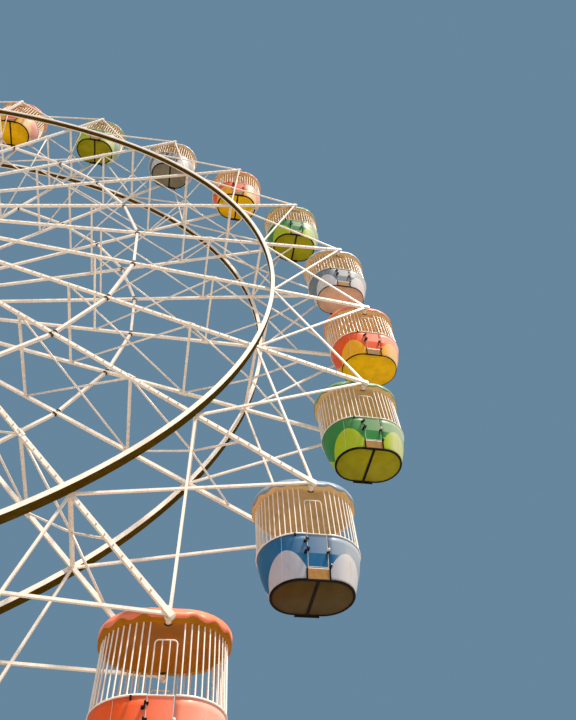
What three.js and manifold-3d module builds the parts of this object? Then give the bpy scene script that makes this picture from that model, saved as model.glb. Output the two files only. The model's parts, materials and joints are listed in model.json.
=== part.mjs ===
// A fairground ferris wheel with 24 open cabins, in millimetres, +Z up, standing on the ground at z = 0.
// The axle runs along Y. Angles round the wheel are counted in the XZ plane from +X towards +Z.
import * as THREE from 'three';
import { mergeVertices } from 'three/addons/utils/BufferGeometryUtils.js';
import Module from 'manifold-3d';

const wasm = await Module();
wasm.setup();

// Driving dimensions of the wheel.
const cabinCount = 24;
const pivotRadius = 17000;
const hubHeight = 20400;
const firstSpokeAngle = 72.12;
const spokeStep = 360 / cabinCount;
const touchGap = 0.3;
const flatTolerance = 0.02;
const weldDistance = 0.001;

// The two side frames lean together, from the hub flanges out to the cabin pivots.
const pivotHalfWidth = 1047;
const hubHalfWidth = 1742;
const spokeWidth = 90;
const diagonalWidth = 55;
const polygonTubeWidth = 86;
const polygonRadius = 0.537 * pivotRadius;
const ringRadius = 0.809 * pivotRadius;
const strutWidths = [
  [0.464 * pivotRadius, 60],
  [0.69 * pivotRadius, 60],
  [ringRadius, 75],
];
const ringDepth = 75;
const ringBreadth = 250;
const ringSetIn = 25;
const ringOverlap = 10;
const ringStepsPerBay = 4;
const rimJointStand = 60;
const rimJointRadius = ringRadius + rimJointStand;
const spokesPerQuarter = 6;
const spokesPerHalf = 12;

// The hub turns on a fixed pair of bearings, and each spoke ends on a flat of its flanges.
const flangeApothem = 1000;
const flangeInner = 1600;
const flangeOuter = 1850;
const barrelRadius = 450;
const shaftRadius = 200;
const shaftHalfLength = 3000;
const barrelSides = 12;
const spokeRoot = 60;

// Each spoke runs a little past the pivot, where an eye through it holds the pin of its cabin.
const spokeTail = 110;
const pinRadius = 30;
const pinOverhang = 70;
const pinHalfLength = pivotHalfWidth + pinOverhang;
const pinSides = 6;

// One cabin, measured from its pivot. Its plan is a slot shape: two half circles joined by straight sides.
const slotHalfStraight = 280;
const slotArcSteps = 4;
const floorRadius = 610;
const floorZ = -2230;
const floorThickness = 60;
const shellThickness = 30;
const creaseRadius = 780;
const creaseZ = -1715;
const railRadius = 862;
const railZ = -1300;
const canopyRadius = 930;
const canopyLowZ = -60;
const canopyEdgeZ = 150;
const canopyCrownRadius = 500;
const canopyCrownZ = 320;
const postX = 300;
const postWidth = 30;
const postDepth = 26;
const postSink = 10;

// The two doors of the cabin at the bottom open, each on a pair of knuckles at one side.
const boardingCabin = 12;
const doorHalfWidth = 215;
const doorThickness = 20;
const doorFootZ = -1990;
const doorTopZ = -365;
const doorBarWidth = 25;
const doorBarDepth = 18;
const doorInnerBarX = 65;
const doorBarSink = 5;
const hingeSideGap = 6;
const latchSideGap = 15;
const doorFootGap = 8;
const hingeX = -240;
const hingeY = -885;
const knuckleRadius = 18;
const knuckleLength = 60;
const knuckleSides = 8;
const knuckleZs = [-1420, -1660];
const strapHeight = 40;
const strapThickness = 10;
const strapStand = 14;
const strapFootLength = 40;
const strapFootStand = 10;
const lugLength = 70;
const lugShift = 25;
const cutOutside = 40;
const cutInside = 180;
const cutAbove = 20;

// Two A-frames carry the bearings.
const legWidth = 480;
const legFootX = 7600;
const legFootY = 4300;
const legHeadY = 2560;
const shaftOverPlate = 320;
const headPlateZ = hubHeight - shaftOverPlate;
const legHeadX = 330;
const basePlateSize = 1000;
const basePlateThickness = 60;
const tieZ = 9000;
const tieWidth = 260;
const groundBeamHeight = 260;
const groundBeamWidth = 300;
const bearingLength = 420;
const bearingWidth = 760;
const bearingHeight = 600;
const bearingFoot = 60;
const bearingShoulder = 150;
const bearingCheek = 480;
const bearingCheekWidth = 420;
const bearingTopWidth = 160;

// Finishes.
const whitePaint = new THREE.MeshStandardMaterial({ color: '#f1e6d8', roughness: 0.45, metalness: 0.1 });
const darkSteel = new THREE.MeshStandardMaterial({ color: '#4a3a30', roughness: 0.5, metalness: 0.5 });
const cabinPaints = ['#2f8f4e', '#2b6f9f', '#d8542c'].map(
  (color) => new THREE.MeshStandardMaterial({ color, roughness: 0.3, metalness: 0.0 }),
);

const degrees = Math.PI / 180;
const frameHalfWidth = (radius) =>
  pivotHalfWidth + (hubHalfWidth - pivotHalfWidth) * (1 - radius / pivotRadius);

// The wheel is drawn about its hub, with spoke 1 along +X and the others clockwise from it, as seen from -Y.
const spokeAngle = (index) => (1 - index) * spokeStep * degrees;

// A point of the wheel: spoke number and radius, on the near side frame (side -1) or the far one (side 1).
function wheelPoint(index, radius, side) {
  const angle = spokeAngle(index);
  return new THREE.Vector3(radius * Math.cos(angle), side * frameHalfWidth(radius), radius * Math.sin(angle));
}

// Solids: a three.js geometry becomes a manifold for cutting and joining, and goes back for display.
function solid(geometry) {
  const bare = geometry.index ? geometry.toNonIndexed() : geometry.clone();
  bare.deleteAttribute('normal');
  bare.deleteAttribute('uv');
  const merged = mergeVertices(bare, weldDistance);
  return new wasm.Manifold(
    new wasm.Mesh({
      numProp: 3,
      vertProperties: Float32Array.from(merged.attributes.position.array),
      triVerts: Uint32Array.from(merged.index.array),
    }),
  );
}

// A join leaves flat faces in slices, which become whole faces again here.
function geometryOf(body) {
  const mesh = body.asOriginal().simplify(flatTolerance).getMesh();
  const geometry = new THREE.BufferGeometry();
  geometry.setAttribute('position', new THREE.BufferAttribute(Float32Array.from(mesh.vertProperties), 3));
  geometry.setIndex(new THREE.BufferAttribute(Uint32Array.from(mesh.triVerts), 1));
  geometry.computeVertexNormals();
  return geometry;
}

const joined = (bodies) => bodies.reduce((whole, body) => whole.add(body));

function box(sizeX, sizeY, sizeZ, x, y, z) {
  return solid(new THREE.BoxGeometry(sizeX, sizeY, sizeZ).translate(x, y, z));
}

const unitY = new THREE.Vector3(0, 1, 0);

// A straight bar between two points, with its breadth as near the lean direction as it can lie.
function bar(start, end, depth, breadth, grow = 0, lean = unitY) {
  const along = end.clone().sub(start);
  const length = along.length();
  along.normalize();
  const across = lean.clone().cross(along).normalize();
  const broad = along.clone().cross(across).normalize();
  const middle = start.clone().add(end).multiplyScalar(0.5);
  const place = new THREE.Matrix4().makeBasis(along, across, broad).setPosition(middle);
  const geometry = new THREE.BoxGeometry(length + 2 * grow, depth + 2 * grow, breadth + 2 * grow);
  return solid(geometry.applyMatrix4(place));
}

// A prism with its axis along Y. The corner angle is where its first corner points.
function prismY(radius, sides, low, high, cornerAngle, centre) {
  const shape = new THREE.Shape();
  for (let i = 0; i < sides; i += 1) {
    const angle = cornerAngle + (i * 2 * Math.PI) / sides;
    const x = radius * Math.cos(angle);
    const z = radius * Math.sin(angle);
    if (i === 0) shape.moveTo(x, z);
    else shape.lineTo(x, z);
  }
  shape.closePath();
  const geometry = new THREE.ExtrudeGeometry(shape, { depth: high - low, bevelEnabled: false });
  geometry.rotateX(Math.PI / 2).translate(centre.x, high, centre.z);
  return solid(geometry);
}

// Wheel: each spoke is an inner length from the hub to the rim and an outer one from there to the cabin.
function innerSpoke(index, side, grow = 0) {
  const start = wheelPoint(index, flangeApothem - spokeRoot, side);
  const end = wheelPoint(index, rimJointRadius, side);
  return bar(start, end, spokeWidth, spokeWidth, grow);
}

function outerSpoke(index, side, grow = 0) {
  const start = wheelPoint(index, rimJointRadius, side);
  const end = wheelPoint(index, pivotRadius + spokeTail, side);
  return bar(start, end, spokeWidth, spokeWidth, grow);
}

// The eye of a spoke. The flats of its six sided hole meet the corners of the pin.
function eyeHole(index, side) {
  const centre = wheelPoint(index, pivotRadius, side);
  const halfSide = Math.PI / pinSides;
  const corner = (pinRadius + touchGap) / Math.cos(halfSide);
  const cornerAngle = spokeAngle(index) + halfSide;
  return prismY(corner, pinSides, centre.y - spokeWidth, centre.y + spokeWidth, cornerAngle, centre);
}

function ringArc(index, side) {
  const innerFace = frameHalfWidth(ringRadius) + spokeWidth / 2 - ringOverlap;
  const bayAngle = spokeAngle(index) - spokeAngle(index + 1) - touchGap / ringRadius;
  const middle = ringRadius - ringSetIn;
  const edge = (radius) =>
    Array.from({ length: ringStepsPerBay + 1 }, (_, step) => {
      const angle = spokeAngle(index) - (bayAngle * step) / ringStepsPerBay;
      return new THREE.Vector2(radius * Math.cos(angle), radius * Math.sin(angle));
    });
  const outer = edge(middle + ringDepth / 2);
  const inner = edge(middle - ringDepth / 2).reverse();
  const shape = new THREE.Shape([...outer, ...inner]);
  const geometry = new THREE.ExtrudeGeometry(shape, { depth: ringBreadth, bevelEnabled: false });
  const high = side > 0 ? innerFace + ringBreadth : -innerFace;
  geometry.rotateX(Math.PI / 2).translate(0, high, 0);
  return solid(geometry);
}

// One side of the inner polygon, from a spoke to the next.
function polygonTube(index, side) {
  const corners = [wheelPoint(index, polygonRadius, side), wheelPoint(index + 1, polygonRadius, side)];
  return bar(corners[0], corners[1], polygonTubeWidth, polygonTubeWidth);
}

// The crossed diagonals that fill the bay between two outer spokes.
function diagonals(index, side) {
  const pivots = [wheelPoint(index, pivotRadius, side), wheelPoint(index + 1, pivotRadius, side)];
  const ringNodes = [wheelPoint(index, ringRadius, side), wheelPoint(index + 1, ringRadius, side)];
  const bayNormal = pivots[1].clone().sub(pivots[0]).cross(ringNodes[0].clone().sub(pivots[0])).normalize();
  return [
    bar(pivots[0], ringNodes[1], diagonalWidth, diagonalWidth, 0, bayNormal),
    bar(pivots[1], ringNodes[0], diagonalWidth, diagonalWidth, 0, bayNormal),
  ];
}

const hubCentre = new THREE.Vector3();
const flatsToCorner = 1 / Math.cos(Math.PI / cabinCount);

function hubDrum(grow = 0) {
  const flatCorner = Math.PI / cabinCount;
  const flange = (flangeApothem + grow) * flatsToCorner;
  const prism = (radius, low, high) => prismY(radius, cabinCount, low, high, flatCorner, hubCentre);
  return joined([
    prism(flange, -flangeOuter, -flangeInner),
    prism(flange, flangeInner, flangeOuter),
    prismY(barrelRadius, barrelSides, -flangeInner, flangeInner, flatCorner, hubCentre),
    prismY(shaftRadius, barrelSides, -shaftHalfLength, shaftHalfLength, flatCorner, hubCentre),
  ]);
}

// The struts from a near spoke to the far spoke behind it.
function struts(index) {
  const outward = new THREE.Vector3(Math.cos(spokeAngle(index)), 0, Math.sin(spokeAngle(index)));
  return strutWidths.map(([radius, width]) =>
    bar(wheelPoint(index, radius, -1), wheelPoint(index, radius, 1), width, width, 0, outward),
  );
}

// A quarter of the wheel inside the rim, with both its side frames and the struts between them.
function wheelQuarter() {
  const pieces = [];
  const cutters = [hubDrum(touchGap)];
  for (const side of [-1, 1]) {
    for (let index = 1; index <= spokesPerQuarter; index += 1) {
      pieces.push(innerSpoke(index, side), polygonTube(index, side), ringArc(index, side));
    }
    cutters.push(innerSpoke(spokesPerQuarter + 1, side, touchGap));
  }
  for (let index = 1; index <= spokesPerQuarter; index += 1) {
    pieces.push(...struts(index));
  }
  return joined(pieces).subtract(joined(cutters));
}

// Half of what one side frame has outside the rim: the spoke ends with their eyes, and the diagonals.
function outerHalf(side) {
  const pieces = [];
  const next = spokesPerHalf + 1;
  const cutters = [outerSpoke(next, side, touchGap), innerSpoke(next, side, touchGap)];
  for (let index = 1; index <= spokesPerHalf; index += 1) {
    pieces.push(outerSpoke(index, side), ...diagonals(index, side));
    cutters.push(innerSpoke(index, side, touchGap), eyeHole(index, side));
  }
  return joined(pieces).subtract(joined(cutters));
}

// Cabin: rings of the slot shape, stacked into one closed body.
function slotRing(radius, z) {
  const points = [];
  for (const end of [1, -1]) {
    for (let step = 0; step <= slotArcSteps; step += 1) {
      const angle = (-90 + (step * 180) / slotArcSteps + (end > 0 ? 0 : 180)) * degrees;
      points.push([end * slotHalfStraight + radius * Math.cos(angle), radius * Math.sin(angle), z]);
    }
  }
  return points;
}

function stack(rings) {
  const size = rings[0].length;
  const positions = rings.flat(2);
  const faces = [];
  for (let layer = 0; layer < rings.length - 1; layer += 1) {
    for (let i = 0; i < size; i += 1) {
      const a = layer * size + i;
      const b = layer * size + ((i + 1) % size);
      faces.push(a, b, b + size, a, b + size, a + size);
    }
  }
  const top = (rings.length - 1) * size;
  for (let i = 1; i < size - 1; i += 1) {
    faces.push(0, i + 1, i, top, top + i, top + i + 1);
  }
  const geometry = new THREE.BufferGeometry();
  geometry.setAttribute('position', new THREE.Float32BufferAttribute(positions, 3));
  geometry.setIndex(faces);
  return solid(geometry);
}

// The tub's outer face: its radius at each height, from the rail down to the floor.
const tubProfile = [
  [railRadius, railZ],
  [creaseRadius, creaseZ],
  [floorRadius, floorZ],
];

function tubRadius(z) {
  const below = tubProfile.findIndex(([, level]) => level < z);
  const [[highRadius, highZ], [lowRadius, lowZ]] = tubProfile.slice(below - 1, below + 1);
  return THREE.MathUtils.mapLinear(z, highZ, lowZ, highRadius, lowRadius);
}

function tub() {
  const outside = tubProfile.map(([radius, z]) => slotRing(radius, z)).reverse();
  return stack([
    ...outside,
    slotRing(railRadius - shellThickness, railZ),
    slotRing(creaseRadius - shellThickness, creaseZ),
    slotRing(floorRadius - shellThickness, floorZ + floorThickness),
  ]);
}

function canopy() {
  return stack([
    slotRing(canopyRadius, canopyLowZ),
    slotRing(canopyRadius, canopyEdgeZ),
    slotRing(canopyCrownRadius, canopyCrownZ),
  ]);
}

// The tub hangs from its canopy by four posts, and the pin through the canopy lies in the eyes of two spokes.
function cabinBody(pinAngle) {
  const postRadius = railRadius - shellThickness / 2;
  const postLow = railZ - postSink;
  const postHigh = canopyLowZ + postSink;
  const posts = [];
  for (const x of [-postX, postX]) {
    for (const y of [-postRadius, postRadius]) {
      posts.push(box(postWidth, postDepth, postHigh - postLow, x, y, (postLow + postHigh) / 2));
    }
  }
  const pin = prismY(pinRadius, pinSides, -pinHalfLength, pinHalfLength, pinAngle, new THREE.Vector3());
  return joined([tub(), canopy(), pin, ...posts]);
}

// An outline of points [y, z], drawn out along X from low to high.
function extrudeX(outline, low, high) {
  const shape = new THREE.Shape(outline.map(([y, z]) => new THREE.Vector2(y, z)));
  const geometry = new THREE.ExtrudeGeometry(shape, { depth: high - low, bevelEnabled: false });
  geometry.applyMatrix4(new THREE.Matrix4().makeBasis(
    new THREE.Vector3(0, 1, 0),
    new THREE.Vector3(0, 0, 1),
    new THREE.Vector3(1, 0, 0),
  ));
  return solid(geometry.translate(low, 0, 0));
}

// The near doorway, in the straight side of the tub. The far one is the same, turned half round.
function doorOpening() {
  const low = doorFootZ - doorFootGap;
  const high = railZ + cutAbove;
  const outline = [
    [-railRadius - cutOutside, high],
    [-railRadius - cutOutside, low],
    [-creaseRadius + cutInside, low],
    [-railRadius + cutInside, high],
  ];
  return extrudeX(outline, -doorHalfWidth - hingeSideGap, doorHalfWidth + latchSideGap);
}

function knuckle(z) {
  const sleeve = new THREE.CylinderGeometry(knuckleRadius, knuckleRadius, knuckleLength, knuckleSides);
  return solid(sleeve.rotateX(Math.PI / 2).translate(hingeX, hingeY, z));
}

// A block of a hinge, reaching from its stand beside the tub to some depth inside the wall there.
function blockToWall(length, x, stand, depthInWall, z) {
  const low = hingeY + stand;
  const high = -tubRadius(z) + depthInWall;
  return box(length, high - low, strapHeight, x, (low + high) / 2, z);
}

function doorLeaf() {
  const corners = [...tubProfile.slice(0, -1), [tubRadius(doorFootZ), doorFootZ]];
  const outer = corners.map(([radius, z]) => [-radius, z]);
  const inner = outer.map(([y, z]) => [y + doorThickness, z]).reverse();
  const panel = extrudeX([...outer, ...inner], -doorHalfWidth, doorHalfWidth);
  const barY = -railRadius + doorThickness / 2;
  const frameX = doorHalfWidth - doorBarWidth;
  const barHeight = doorTopZ - railZ;
  const uprights = [-frameX, -doorInnerBarX, doorInnerBarX, frameX].map((x) =>
    box(doorBarWidth, doorBarDepth, barHeight, x, barY, railZ - doorBarSink + barHeight / 2),
  );
  const head = box(2 * frameX + doorBarWidth, doorBarDepth, doorBarWidth, 0, barY, doorTopZ - doorBarSink);
  const footX = -doorHalfWidth + strapFootLength / 2;
  const reach = -doorHalfWidth + strapFootLength - hingeX;
  const straps = knuckleZs.flatMap((z) => [
    knuckle(z),
    box(reach, strapThickness, strapHeight, hingeX + reach / 2, hingeY + strapStand, z),
    blockToWall(strapFootLength, footX, strapFootStand, doorThickness / 2, z),
  ]);
  return joined([panel, ...uprights, head, ...straps]);
}

// The knuckles of the tub, each right under one of the door's.
function hingeLugs() {
  const levels = knuckleZs.map((z) => z - knuckleLength - touchGap);
  return joined(
    levels.flatMap((z) => [
      knuckle(z),
      blockToWall(lugLength, hingeX - lugShift, 0, shellThickness / 2, z),
    ]),
  );
}

// Supports.
function basePlate(x, y) {
  return box(basePlateSize, basePlateSize, basePlateThickness, x, y, basePlateThickness / 2);
}

function legColumn(sideX, sideY, grow = 0) {
  const head = new THREE.Vector3(sideX * legHeadX, sideY * legHeadY, headPlateZ);
  const foot = new THREE.Vector3(sideX * legFootX, sideY * legFootY, 0);
  const along = head.clone().sub(foot).normalize();
  const start = foot.clone().addScaledVector(along, -legWidth);
  const end = head.clone().addScaledVector(along, legWidth);
  const reach = 2 * legFootX;
  const height = headPlateZ - touchGap;
  const keep = box(reach, 4 * legFootY, height, sideX * (reach / 2 + touchGap), 0, height / 2);
  return bar(start, end, legWidth, legWidth, grow).intersect(keep);
}

function leg(sideX, sideY) {
  return legColumn(sideX, sideY).add(basePlate(sideX * legFootX, sideY * legFootY));
}

function legTie(sideY) {
  const share = tieZ / headPlateZ;
  const x = legFootX + (legHeadX - legFootX) * share;
  const y = sideY * (legFootY + (legHeadY - legFootY) * share);
  const beam = box(2 * x, tieWidth, tieWidth, 0, y, tieZ);
  return beam.subtract(legColumn(-1, sideY, touchGap)).subtract(legColumn(1, sideY, touchGap));
}

function groundBeam(sideX) {
  const length = 2 * legFootY - basePlateSize - 2 * touchGap;
  const beam = box(groundBeamWidth, length, groundBeamHeight, sideX * legFootX, 0, groundBeamHeight / 2);
  return beam.subtract(legColumn(sideX, -1, touchGap)).subtract(legColumn(sideX, 1, touchGap));
}

// A bearing block with a broad foot. The flats of its bore meet the corners of the shaft.
function bearingBlock(sideY) {
  const rightSide = [
    [bearingWidth / 2, 0],
    [bearingWidth / 2, bearingFoot],
    [bearingCheekWidth / 2, bearingShoulder],
    [bearingCheekWidth / 2, bearingCheek],
    [bearingTopWidth / 2, bearingHeight],
  ];
  const leftSide = rightSide.map(([x, z]) => [-x, z]).reverse();
  const shape = new THREE.Shape([...rightSide, ...leftSide].map(([x, z]) => new THREE.Vector2(x, z)));
  const geometry = new THREE.ExtrudeGeometry(shape, { depth: bearingLength, bevelEnabled: false });
  geometry.rotateX(Math.PI / 2).translate(0, sideY * legHeadY + bearingLength / 2, headPlateZ);
  const halfSide = Math.PI / barrelSides;
  const boreCorner = (shaftRadius + touchGap) / Math.cos(halfSide);
  const boreAngle = firstSpokeAngle * degrees + Math.PI / cabinCount + halfSide;
  const boreCentre = new THREE.Vector3(0, 0, hubHeight);
  const bore = prismY(boreCorner, barrelSides, -shaftHalfLength, shaftHalfLength, boreAngle, boreCentre);
  return solid(geometry).subtract(bore);
}

// Assembly: a group of named meshes, each placed in the wheel's frame.
const ferrisWheel = new THREE.Group();

function place(parent, name, body, material) {
  const mesh = new THREE.Mesh(geometryOf(body), material);
  mesh.name = name;
  parent.add(mesh);
  return mesh;
}

const halfTurn = [0, 0, 180];
const numbered = (number) => String(number).padStart(2, '0');

// The wheel stands turned so that spoke 1 points up to the right. Inside the rim it is made of four like
// quarters, and outside the rim each side frame is made of two like halves.
const wheel = new THREE.Group();
wheel.position.z = hubHeight;
wheel.rotation.y = -firstSpokeAngle * degrees;
ferrisWheel.add(wheel);
place(wheel, 'hub_drum', hubDrum(), darkSteel);

function placeAround(name, body, spokesPerPiece) {
  for (let number = 1; number <= cabinCount / spokesPerPiece; number += 1) {
    const mesh = place(wheel, `${name}_${number}`, body, whitePaint);
    mesh.rotation.y = -spokeAngle(1 + (number - 1) * spokesPerPiece);
  }
}

placeAround('wheel_quarter', wheelQuarter(), spokesPerQuarter);
placeAround('near_outer_frame', outerHalf(-1), spokesPerHalf);
placeAround('far_outer_frame', outerHalf(1), spokesPerHalf);

// The cabins hang level, whatever the turn of the wheel.
const door = doorLeaf();
for (let index = 1; index <= cabinCount; index += 1) {
  const holder = new THREE.Group();
  const angle = firstSpokeAngle * degrees + spokeAngle(index);
  holder.position.set(pivotRadius * Math.cos(angle), 0, hubHeight + pivotRadius * Math.sin(angle));
  ferrisWheel.add(holder);
  const paint = cabinPaints[(index - 1) % cabinPaints.length];
  let cabin = cabinBody(angle);
  if (index === boardingCabin) {
    const cuts = [doorOpening(), doorOpening().rotate(halfTurn)];
    cabin = joined([cabin.subtract(joined(cuts)), hingeLugs(), hingeLugs().rotate(halfTurn)]);
    place(holder, 'near_door', door, paint);
    place(holder, 'far_door', door, paint).rotation.z = Math.PI;
  }
  place(holder, `cabin_${numbered(index)}`, cabin, paint);
}

for (const [sideName, sideY] of [['near', -1], ['far', 1]]) {
  place(ferrisWheel, `${sideName}_bearing_block`, bearingBlock(sideY), darkSteel);
  place(ferrisWheel, `${sideName}_leg_tie`, legTie(sideY), whitePaint);
  place(ferrisWheel, `${sideName}_left_leg`, leg(-1, sideY), whitePaint);
  place(ferrisWheel, `${sideName}_right_leg`, leg(1, sideY), whitePaint);
}
place(ferrisWheel, 'left_ground_beam', groundBeam(-1), whitePaint);
place(ferrisWheel, 'right_ground_beam', groundBeam(1), whitePaint);

export default ferrisWheel;
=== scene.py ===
# A park ferris wheel with 24 barred cabins, dressed on its solid frame.
# Metres, +Z up, near side towards -Y.
import json
import math

import bmesh
import bpy
from mathutils import Matrix, Vector


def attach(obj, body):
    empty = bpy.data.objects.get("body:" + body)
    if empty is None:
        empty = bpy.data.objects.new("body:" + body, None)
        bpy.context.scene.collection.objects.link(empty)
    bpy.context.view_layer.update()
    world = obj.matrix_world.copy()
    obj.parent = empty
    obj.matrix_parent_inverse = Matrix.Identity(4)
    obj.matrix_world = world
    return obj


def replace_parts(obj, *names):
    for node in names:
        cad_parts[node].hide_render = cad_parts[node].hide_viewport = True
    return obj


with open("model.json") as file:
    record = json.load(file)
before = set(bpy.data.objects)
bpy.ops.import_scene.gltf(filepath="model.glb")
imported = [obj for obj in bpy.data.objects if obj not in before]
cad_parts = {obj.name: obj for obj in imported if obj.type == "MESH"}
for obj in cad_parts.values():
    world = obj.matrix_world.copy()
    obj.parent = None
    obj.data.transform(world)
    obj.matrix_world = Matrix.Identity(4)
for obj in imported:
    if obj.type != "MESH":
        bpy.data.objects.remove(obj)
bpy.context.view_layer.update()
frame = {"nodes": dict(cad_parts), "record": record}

# Camera and light
# The visitor stands beside the wheel at eye height and looks steeply up, past the hub, at the cabins on
# its right. A warm sun stands high on the right, the soft box round it fades to the left, and a pale
# ground throws light back up under the cabins.
hub = Vector((0, 0, 20.4))
wheel_radius = 17.0
eye = hub + wheel_radius * Vector((0.66438, -0.64536, -1.11043))
look_yaw = math.radians(15.37)
look_up = math.radians(54.37)
head_tilt = math.radians(-6.30)
picture_height = 720
focal_pixels = 615.84
sensor = 36

camera = bpy.data.objects.new("eye", bpy.data.cameras.new("eye"))
camera.data.sensor_width = sensor
camera.data.lens = focal_pixels * sensor / picture_height
camera.data.clip_end = 400
turned = Matrix.Rotation(-look_yaw, 4, "Z") @ Matrix.Rotation(math.radians(90) + look_up, 4, "X")
camera.matrix_world = Matrix.Translation(eye) @ turned @ Matrix.Rotation(head_tilt, 4, "Z")
bpy.context.scene.collection.objects.link(camera)
bpy.context.scene.camera = camera

sun = bpy.data.objects.new("sun", bpy.data.lights.new("sun", "SUN"))
sun.data.energy = 5.4
sun.data.angle = math.radians(4)
sun.data.color = (1.0, 0.91, 0.79)
sunward = Vector((0.36, -0.44, 0.90)).normalized()
sun.matrix_world = sunward.to_track_quat("Z", "Y").to_matrix().to_4x4()
bpy.context.scene.collection.objects.link(sun)

sky = bpy.data.worlds.new("studio")
sky.use_nodes = True
backdrop = sky.node_tree.nodes["Background"]
backdrop.inputs["Color"].default_value = (0.135, 0.240, 0.340, 1)
fill = sky.node_tree.nodes.new("ShaderNodeBackground")
fill.inputs["Color"].default_value = (0.62, 0.72, 0.86, 1)
direction = sky.node_tree.nodes.new("ShaderNodeTexCoord")
towards_sun = sky.node_tree.nodes.new("ShaderNodeVectorMath")
towards_sun.operation = "DOT_PRODUCT"
towards_sun.inputs[1].default_value = sunward
strength = sky.node_tree.nodes.new("ShaderNodeMapRange")
for name, value in {"From Min": -0.8, "From Max": 1.0, "To Min": 0.04, "To Max": 0.95}.items():
    strength.inputs[name].default_value = value
seen = sky.node_tree.nodes.new("ShaderNodeLightPath")
either = sky.node_tree.nodes.new("ShaderNodeMixShader")
for source, target in (
    (direction.outputs["Generated"], towards_sun.inputs[0]),
    (towards_sun.outputs["Value"], strength.inputs["Value"]),
    (strength.outputs[0], fill.inputs["Strength"]),
    (seen.outputs["Is Camera Ray"], either.inputs[0]),
    (fill.outputs[0], either.inputs[1]),
    (backdrop.outputs[0], either.inputs[2]),
    (either.outputs[0], sky.node_tree.nodes["World Output"].inputs["Surface"]),
):
    sky.node_tree.links.new(source, target)
bpy.context.scene.world = sky
bpy.context.scene.view_settings.view_transform = "Standard"


# Painted steelwork
# The spokes, rings, legs and beams are welded steel tube under a warm white gloss paint. It is chalky with
# age, with rain streaks down from the joints and a few rusty chips. Hub and ring webs are painted brown.
class Value:
    """A number that a node gives. Arithmetic on it adds Math nodes."""

    def __init__(self, finish, socket):
        self.finish = finish
        self.socket = socket

    def math(self, operation, *terms):
        return self.finish.node("ShaderNodeMath", {"operation": operation}, terms)

    def __add__(self, other):
        return self.math("ADD", self, other)

    __radd__ = __add__

    def __sub__(self, other):
        return self.math("SUBTRACT", self, other)

    def __rsub__(self, other):
        return self.math("SUBTRACT", other, self)

    def __mul__(self, other):
        return self.math("MULTIPLY", self, other)

    __rmul__ = __mul__

    def __pow__(self, other):
        return self.math("POWER", self, other)

    def at_least(self, other):
        return self.math("MAXIMUM", self, other)

    def size(self):
        return self.math("ABSOLUTE", self)

    def step(self, low, high):
        """0 below low and 1 above high, rising smoothly between them."""
        ramp = {"interpolation_type": "SMOOTHSTEP"}
        values = {"Value": self, "From Min": low, "From Max": high}
        return self.finish.node("ShaderNodeMapRange", ramp, values)


class Finish:
    """A material with one Principled shader, whose sockets take plain numbers or patterns."""

    def __init__(self, name, plain):
        self.material = bpy.data.materials.new(name)
        self.material.use_nodes = True
        self.tree = self.material.node_tree
        self.shader = self.tree.nodes["Principled BSDF"]
        self.put(self.shader, plain)
        self.place = self.node("ShaderNodeTexCoord", {}, {}, "Object")

    def put(self, node, values):
        pairs = values.items() if isinstance(values, dict) else enumerate(values)
        for name, value in pairs:
            if isinstance(value, Value):
                self.tree.links.new(value.socket, node.inputs[name])
            else:
                node.inputs[name].default_value = value

    def node(self, kind, settings, values, output=0):
        made = self.tree.nodes.new(kind)
        for name, value in settings.items():
            setattr(made, name, value)
        self.put(made, values)
        return Value(self, made.outputs[output])

    def noise(self, scale, detail=4, stretch=(1, 1, 1)):
        where = self.node("ShaderNodeMapping", {}, {"Vector": self.place, "Scale": stretch})
        return self.node("ShaderNodeTexNoise", {}, {"Vector": where, "Scale": scale, "Detail": detail})

    def blend(self, share, first, second):
        values = {"Factor": share, 6: first, 7: second}
        return self.node("ShaderNodeMix", {"data_type": "RGBA"}, values, 2)

    def surface(self, colour, roughness, height=None, depth=0.002):
        self.put(self.shader, {"Base Color": colour, "Roughness": roughness})
        if height is not None:
            bump = {"Height": height, "Distance": depth, "Strength": 0.5}
            self.put(self.shader, {"Normal": self.node("ShaderNodeBump", {}, bump)})


rust = (0.20, 0.085, 0.035, 1)


def painted_steel(name, paint, grime, gloss, coat):
    """Gloss paint with grime in patches and streaks, chipped to the rust here and there."""
    finish = Finish(name, {"Coat Weight": coat, "Coat Roughness": 0.2, "Specular IOR Level": coat})
    patches = finish.noise(0.9, 6)
    streaks = finish.noise(9, 3, (1, 1, 0.12))
    chips = finish.noise(46, 3).step(0.73, 0.76)
    dirty = (patches * streaks).step(0.20, 0.42) * 0.55
    colour = finish.blend(chips, finish.blend(dirty, paint, grime), rust)
    finish.surface(colour, gloss + 0.2 * patches + 0.3 * chips, finish.noise(70, 2) - chips, 0.0015)
    return finish.material


white_paint = painted_steel("white_paint", (0.88, 0.80, 0.71, 1), (0.66, 0.53, 0.42, 1), 0.35, 0.2)
brown_paint = painted_steel("brown_paint", (0.072, 0.042, 0.004, 1), (0.110, 0.068, 0.008, 1), 0.50, 0)
slot_paints = {"frame_paint": white_paint, "dark_steel": brown_paint}
for part in frame["record"]["subparts"]:
    if part["material_slot"] in slot_paints:
        node = frame["nodes"][part["node"]]
        node.data.materials.clear()
        node.data.materials.append(slot_paints[part["material_slot"]])


# Rolled rims
# Two rings tie the spoke pairs together. Each is rolled from a broad flat bar, white at both edges, where
# rolled lips stand in towards the hub, and brown on the tread outside and in the web between the lips.
def new_piece(name, bm, body, slot_name, *materials):
    """Makes the bmesh an object that rides on its body."""
    mesh = bpy.data.meshes.new(name)
    bm.to_mesh(mesh)
    bm.free()
    for material in materials:
        mesh.materials.append(material)
    piece = bpy.data.objects.new(name, mesh)
    bpy.context.scene.collection.objects.link(piece)
    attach(piece, body)
    return piece


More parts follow.
